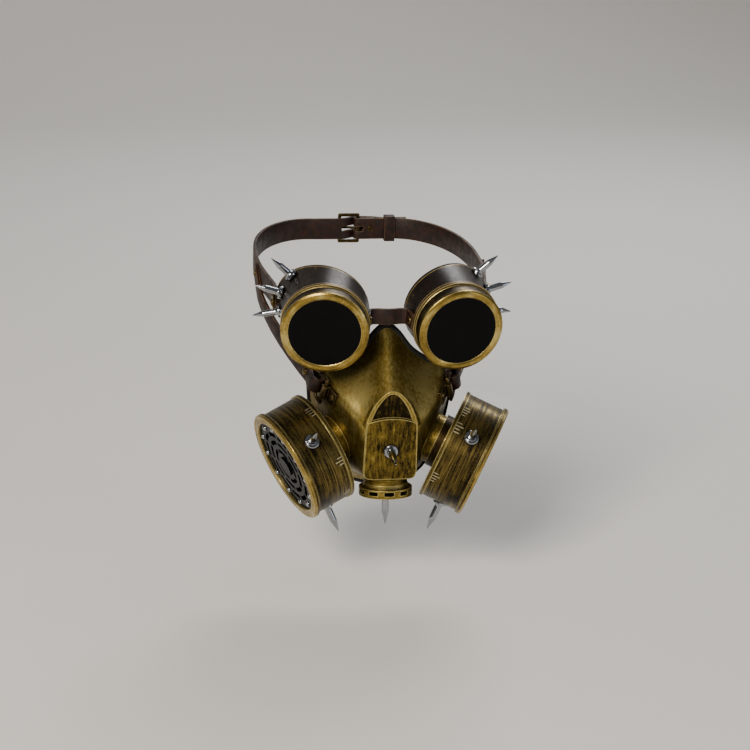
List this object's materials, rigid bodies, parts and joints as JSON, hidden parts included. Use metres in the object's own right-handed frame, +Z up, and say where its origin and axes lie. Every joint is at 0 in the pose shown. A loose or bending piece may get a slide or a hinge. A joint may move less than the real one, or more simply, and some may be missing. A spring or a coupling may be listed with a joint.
{
  "type": "plague doctor mask",
  "caption": "Worn half mask with twin screw-capped filter canisters, spiked round goggles, cheek straps with rings and a buckled head strap.",
  "frame": {"origin": "the wearer's nose bridge, at the top of the half mask's nose", "axes": "+X towards the wearer's left, +Y backwards from the face, +Z up"},
  "size_m": [0.1804, 0.2566, 0.1902],
  "materials": {
    "antique_brass_shell": "moulded plastic in rubbed antique brass paint",
    "antique_brass": "moulded plastic in antique brass paint",
    "brushed_brass": "brushed antique brass finish with dark patina",
    "rubbed_brass": "antique brass paint rubbed bright on the edges",
    "aged_bronze": "dark bronze paint",
    "dark_bronze": "dark bronze paint with rubbed light edges",
    "chromed_steel": "polished chrome",
    "black_rubber": "soft black rubber",
    "filter_felt": "filter felt",
    "padded_leather": "soft dark padded leather",
    "brown_leather": "brown leather with lighter cut edges",
    "smoked_lens": "gloss, smoked almost black",
    "black_grille": "gloss black",
    "aged_hardware": "aged dark brass"
  },
  "bodies": {
    "mask": {"mask_shell": "antique_brass_shell", "face_seal": "black_rubber", "snout_spike": "chromed_steel", "shell_screws": "chromed_steel", "valve_barrel": "antique_brass", "valve_cover": "antique_brass", "valve_flap": "black_rubber", "valve_spike": "chromed_steel", "left_neck": "aged_bronze", "right_neck": "aged_bronze", "left_neck_nut": "aged_bronze", "right_neck_nut": "aged_bronze", "left_drum": "brushed_brass", "right_drum": "brushed_brass", "left_filter_pad": "filter_felt", "right_filter_pad": "filter_felt", "left_drum_spikes": "chromed_steel", "right_drum_spikes": "chromed_steel", "left_drum_screws": "chromed_steel", "right_drum_screws": "chromed_steel", "left_eyecup": "dark_bronze", "right_eyecup": "dark_bronze", "left_eye_gasket": "black_rubber", "right_eye_gasket": "black_rubber", "left_eyecup_spikes": "chromed_steel", "right_eyecup_spikes": "chromed_steel", "left_eyecup_screws": "chromed_steel", "right_eyecup_screws": "chromed_steel", "left_eyecup_pad": "padded_leather", "right_eyecup_pad": "padded_leather", "nose_bridge": "brown_leather", "bridge_rivets": "aged_hardware", "left_ring_tab": "aged_hardware", "right_ring_tab": "aged_hardware", "left_cheek_strap": "brown_leather", "right_cheek_strap": "brown_leather", "left_strap_lug": "aged_hardware", "right_strap_lug": "aged_hardware", "left_strap_rivets": "aged_hardware", "right_strap_rivets": "aged_hardware", "left_head_strap": "brown_leather", "right_head_strap": "brown_leather", "strap_buckle": "aged_hardware", "strap_keeper": "brown_leather"},
    "left_lens_seat": {"left_lens": "smoked_lens"},
    "left_bezel_ring": {"left_bezel": "rubbed_brass"},
    "left_grille_plate": {"left_grille": "black_grille", "left_grille_studs": "chromed_steel"},
    "left_canister_rim": {"left_rim_ring": "rubbed_brass"},
    "left_strap_ring": {"left_d_ring": "aged_hardware"},
    "right_lens_seat": {"right_lens": "smoked_lens"},
    "right_bezel_ring": {"right_bezel": "rubbed_brass"},
    "right_grille_plate": {"right_grille": "black_grille", "right_grille_studs": "chromed_steel"},
    "right_canister_rim": {"right_rim_ring": "rubbed_brass"},
    "right_strap_ring": {"right_d_ring": "aged_hardware"},
    "buckle_tongue": {"buckle_prong": "aged_hardware"}
  },
  "joints": [
    {"name": "left_lens_slide", "type": "slide", "parent": "mask", "child": "left_lens_seat", "axis": [0.1541, -0.9727, -0.1736], "range_m": [0, 0.0061]},
    {"name": "left_bezel_turn", "type": "hinge", "parent": "left_lens_seat", "child": "left_bezel_ring", "pos_m": [0.0465, -0.03, 0.005], "axis": [0.1541, -0.9727, -0.1736], "range_deg": [0, 720]},
    {"name": "left_grille_slide", "type": "slide", "parent": "mask", "child": "left_grille_plate", "axis": [0.8767, -0.3019, -0.3746], "range_m": [0, 0.0061]},
    {"name": "left_rim_turn", "type": "hinge", "parent": "left_grille_plate", "child": "left_canister_rim", "pos_m": [0.07, -0.012, -0.096], "axis": [0.8767, -0.3019, -0.3746], "range_deg": [0, 720]},
    {"name": "left_ring_swing", "type": "hinge", "parent": "mask", "child": "left_strap_ring", "pos_m": [0.0434, -0.00904, -0.04286], "axis": [-0.2347, -0.3023, 0.9239], "range_deg": [-5, 5]},
    {"name": "right_lens_slide", "type": "slide", "parent": "mask", "child": "right_lens_seat", "axis": [-0.1541, -0.9727, -0.1736], "range_m": [0, 0.0061]},
    {"name": "right_bezel_turn", "type": "hinge", "parent": "right_lens_seat", "child": "right_bezel_ring", "pos_m": [-0.0465, -0.03, 0.005], "axis": [-0.1541, -0.9727, -0.1736], "range_deg": [0, 720]},
    {"name": "right_grille_slide", "type": "slide", "parent": "mask", "child": "right_grille_plate", "axis": [-0.8767, -0.3019, -0.3746], "range_m": [0, 0.0061]},
    {"name": "right_rim_turn", "type": "hinge", "parent": "right_grille_plate", "child": "right_canister_rim", "pos_m": [-0.07, -0.012, -0.096], "axis": [-0.8767, -0.3019, -0.3746], "range_deg": [0, 720]},
    {"name": "right_ring_swing", "type": "hinge", "parent": "mask", "child": "right_strap_ring", "pos_m": [-0.0434, -0.00904, -0.04286], "axis": [-0.2347, 0.3023, -0.9239], "range_deg": [-5, 5]},
    {"name": "prong_lift", "type": "hinge", "parent": "mask", "child": "buckle_tongue", "pos_m": [0.007, 0.1944, 0.02], "axis": [0, 0, -1], "range_deg": [0, 15]}
  ],
  "couplings": [
    {"joint": "left_lens_slide", "follows": "left_bezel_turn", "m_per_rad": 0.00047746},
    {"joint": "left_grille_slide", "follows": "left_rim_turn", "m_per_rad": 0.00047746},
    {"joint": "right_lens_slide", "follows": "right_bezel_turn", "m_per_rad": 0.00047746},
    {"joint": "right_grille_slide", "follows": "right_rim_turn", "m_per_rad": 0.00047746}
  ]
}
